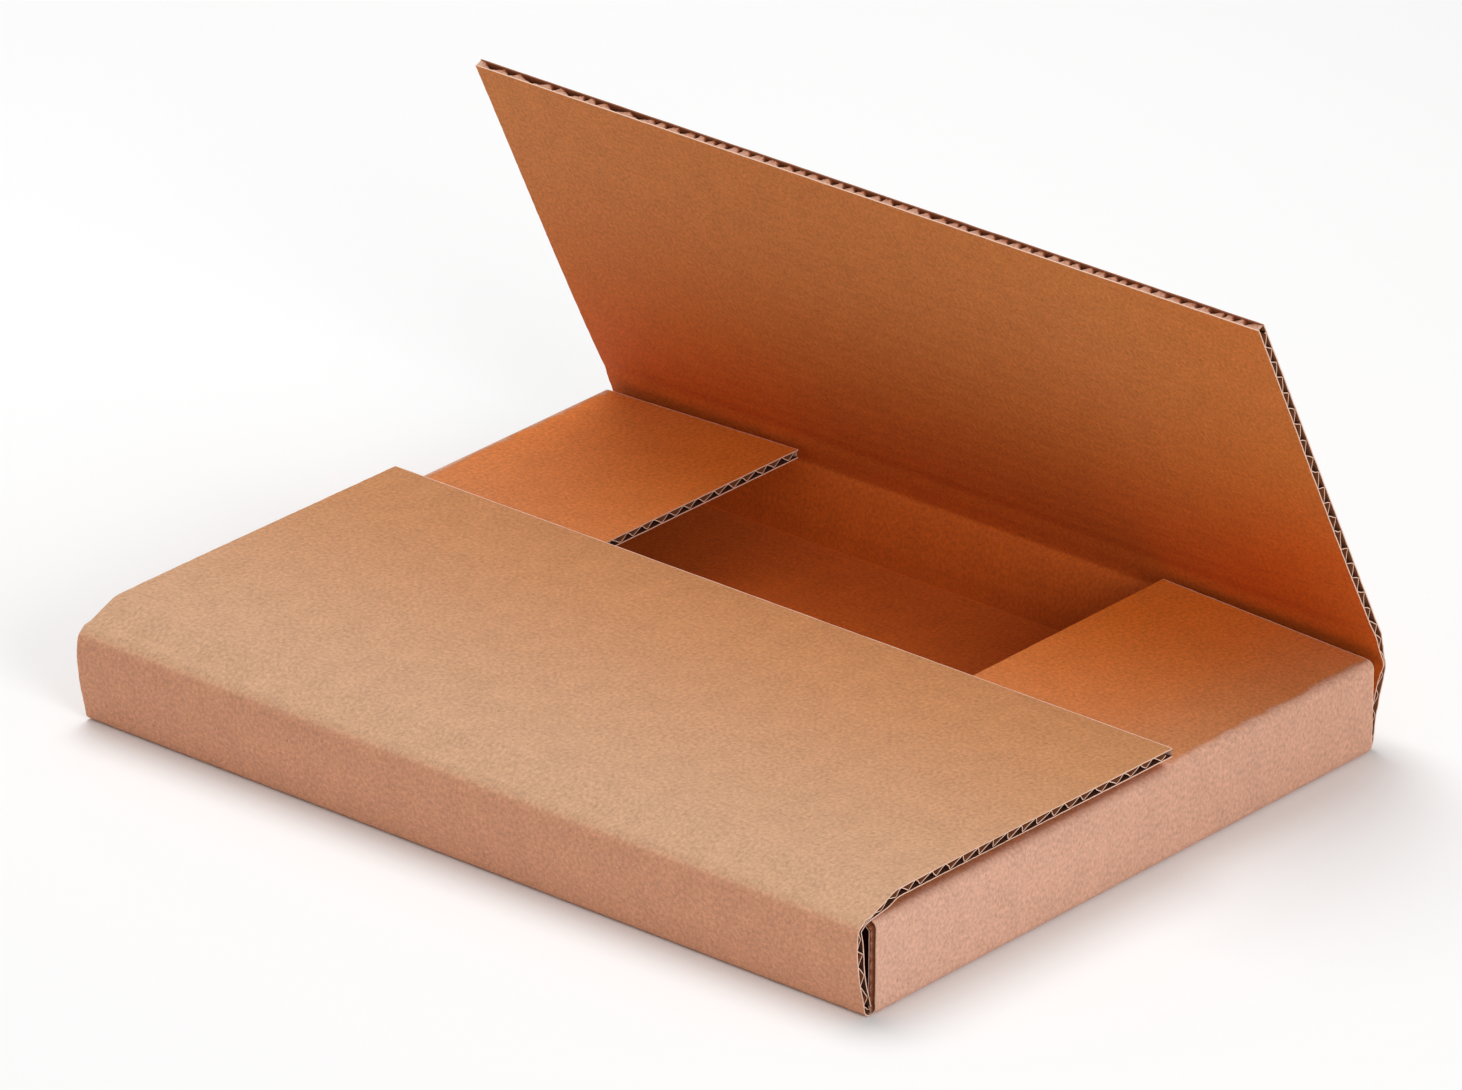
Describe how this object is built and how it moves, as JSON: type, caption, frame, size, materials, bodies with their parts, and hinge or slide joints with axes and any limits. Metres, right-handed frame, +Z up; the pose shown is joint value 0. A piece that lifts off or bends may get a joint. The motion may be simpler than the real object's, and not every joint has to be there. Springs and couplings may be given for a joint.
{
  "type": "corrugated cardboard mailer",
  "caption": "Shallow kraft corrugated mailer folded from one sheet, with end flaps folded in, a long front flap closed over them and a matching back flap standing open",
  "frame": {"origin": "Centre of the bottom panel, on the face that rests on the table", "axes": "+Z up, +Y from the front wall to the back wall, +X along the long side to the right as seen from the front"},
  "size_m": [0.2914, 0.2324, 0.1512],
  "materials": {
    "kraft_board": "matte kraft paper"
  },
  "bodies": {
    "tray": {"tray": "kraft_board"},
    "front_flap": {"front_flap": "kraft_board"},
    "back_flap": {"back_flap": "kraft_board"}
  },
  "joints": [
    {"name": "front_flap_fold", "type": "hinge", "parent": "tray", "child": "front_flap", "pos_m": [0, -0.11461, 0.02884], "axis": [1, 0, 0], "range_deg": [0, 175]},
    {"name": "back_flap_fold", "type": "hinge", "parent": "tray", "child": "back_flap", "pos_m": [0, 0.11399, 0.03593], "axis": [-1, 0, 0], "range_deg": [-61.5, 115]}
  ]
}
